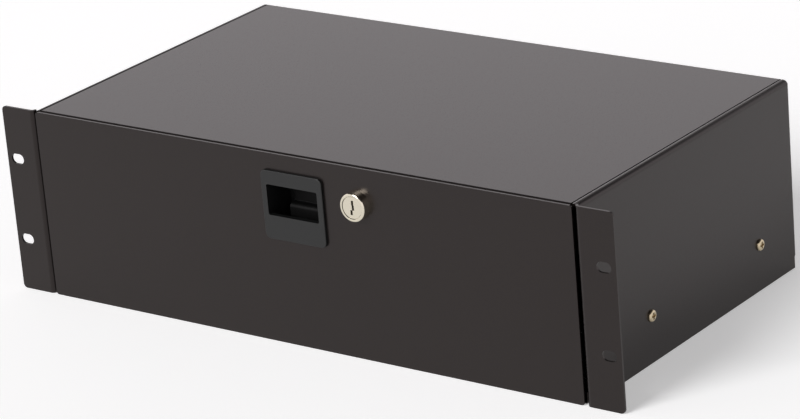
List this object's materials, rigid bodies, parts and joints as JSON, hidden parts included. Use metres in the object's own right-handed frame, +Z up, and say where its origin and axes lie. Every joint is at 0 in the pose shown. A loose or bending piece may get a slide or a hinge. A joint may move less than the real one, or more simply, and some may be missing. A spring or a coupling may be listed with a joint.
{
  "type": "lockable sliding rack drawer",
  "caption": "Lockable sliding drawer in a folded steel case with slotted rack ears, a latching recessed pull, a cam lock and ball-bearing telescopic slides.",
  "frame": {"origin": "centre of the four slots in the rack ears, on the ears' back faces", "axes": "+X to the right as seen from the front, +Y back into the rack, +Z up"},
  "size_m": [0.4826, 0.256, 0.13],
  "materials": {
    "case_powder_coat": "satin",
    "front_powder_coat": "satin",
    "tray_powder_coat": "satin",
    "zinc_plated_steel": "satin",
    "cage_steel": "bright",
    "ball_steel": "polished",
    "plated_fasteners": "bright",
    "buffer_rubber": "matte",
    "handle_plastic": "fine matte",
    "paddle_plastic": "satin",
    "bolt_steel": "satin",
    "lock_chrome": "polished",
    "lock_zinc": "satin"
  },
  "bodies": {
    "case": {"case_side_left": "case_powder_coat", "case_side_right": "case_powder_coat", "case_cover": "case_powder_coat", "case_pan": "case_powder_coat", "strike_angle": "case_powder_coat", "case_slide_screws": "plated_fasteners", "slide_outer_left": "zinc_plated_steel", "slide_outer_right": "zinc_plated_steel", "slide_buffer_left": "buffer_rubber", "slide_buffer_right": "buffer_rubber"},
    "drawer": {"tray": "tray_powder_coat", "tray_front": "tray_powder_coat", "tray_back": "tray_powder_coat", "drawer_front": "front_powder_coat", "drawer_slide_screws": "plated_fasteners", "slide_inner_left": "zinc_plated_steel", "slide_inner_right": "zinc_plated_steel", "handle_housing": "handle_plastic", "paddle_pin": "plated_fasteners", "latch_bracket": "zinc_plated_steel", "bracket_screws": "plated_fasteners", "lock_barrel": "lock_chrome", "lock_nut": "lock_zinc", "bolt_spring": "plated_fasteners"},
    "slide_middle_left": {"slide_middle_left": "zinc_plated_steel"},
    "outer_cage_left": {"cage_outer_left": "cage_steel", "balls_outer_left": "ball_steel"},
    "inner_cage_left": {"cage_inner_left": "cage_steel", "balls_inner_left": "ball_steel"},
    "slide_middle_right": {"slide_middle_right": "zinc_plated_steel"},
    "outer_cage_right": {"cage_outer_right": "cage_steel", "balls_outer_right": "ball_steel"},
    "inner_cage_right": {"cage_inner_right": "cage_steel", "balls_inner_right": "ball_steel"},
    "latch_paddle": {"latch_paddle": "paddle_plastic"},
    "latch_bolt": {"latch_bolt": "bolt_steel"},
    "lock_plug": {"lock_plug": "lock_chrome", "lock_cam": "lock_zinc", "cam_screw": "plated_fasteners"}
  },
  "joints": [
    {"name": "drawer_slide", "type": "slide", "parent": "case", "child": "drawer", "axis": [0, -1, 0], "range_m": [0, 0.22]},
    {"name": "slide_middle_left_slide", "type": "slide", "parent": "case", "child": "slide_middle_left", "axis": [0, -1, 0], "range_m": [0, 0.11]},
    {"name": "outer_cage_left_roll", "type": "slide", "parent": "case", "child": "outer_cage_left", "axis": [0, -1, 0], "range_m": [0, 0.055]},
    {"name": "inner_cage_left_roll", "type": "slide", "parent": "case", "child": "inner_cage_left", "axis": [0, -1, 0], "range_m": [0, 0.165]},
    {"name": "slide_middle_right_slide", "type": "slide", "parent": "case", "child": "slide_middle_right", "axis": [0, -1, 0], "range_m": [0, 0.11]},
    {"name": "outer_cage_right_roll", "type": "slide", "parent": "case", "child": "outer_cage_right", "axis": [0, -1, 0], "range_m": [0, 0.055]},
    {"name": "inner_cage_right_roll", "type": "slide", "parent": "case", "child": "inner_cage_right", "axis": [0, -1, 0], "range_m": [0, 0.165]},
    {"name": "paddle_pivot", "type": "hinge", "parent": "drawer", "child": "latch_paddle", "pos_m": [0.001, 0.0155, 0.041], "axis": [-1, 0, 0], "range_deg": [0, 22]},
    {"name": "bolt_slide", "type": "slide", "parent": "drawer", "child": "latch_bolt", "axis": [0, 0, -1], "range_m": [0, 0.004], "stiffness_N_per_m": 600, "springref_m": -0.006, "deforming": ["bolt_spring"]},
    {"name": "lock_turn", "type": "hinge", "parent": "drawer", "child": "lock_plug", "pos_m": [0.0512, 0.0235, 0.04], "axis": [0, -1, 0], "range_deg": [0, 90]}
  ],
  "couplings": [
    {"joint": "slide_middle_left_slide", "follows": "drawer_slide", "ratio": 0.5},
    {"joint": "outer_cage_left_roll", "follows": "drawer_slide", "ratio": 0.25},
    {"joint": "inner_cage_left_roll", "follows": "drawer_slide", "ratio": 0.75},
    {"joint": "slide_middle_right_slide", "follows": "drawer_slide", "ratio": 0.5},
    {"joint": "outer_cage_right_roll", "follows": "drawer_slide", "ratio": 0.25},
    {"joint": "inner_cage_right_roll", "follows": "drawer_slide", "ratio": 0.75},
    {"joint": "paddle_pivot", "follows": "bolt_slide", "rad_per_m": 95.83}
  ]
}
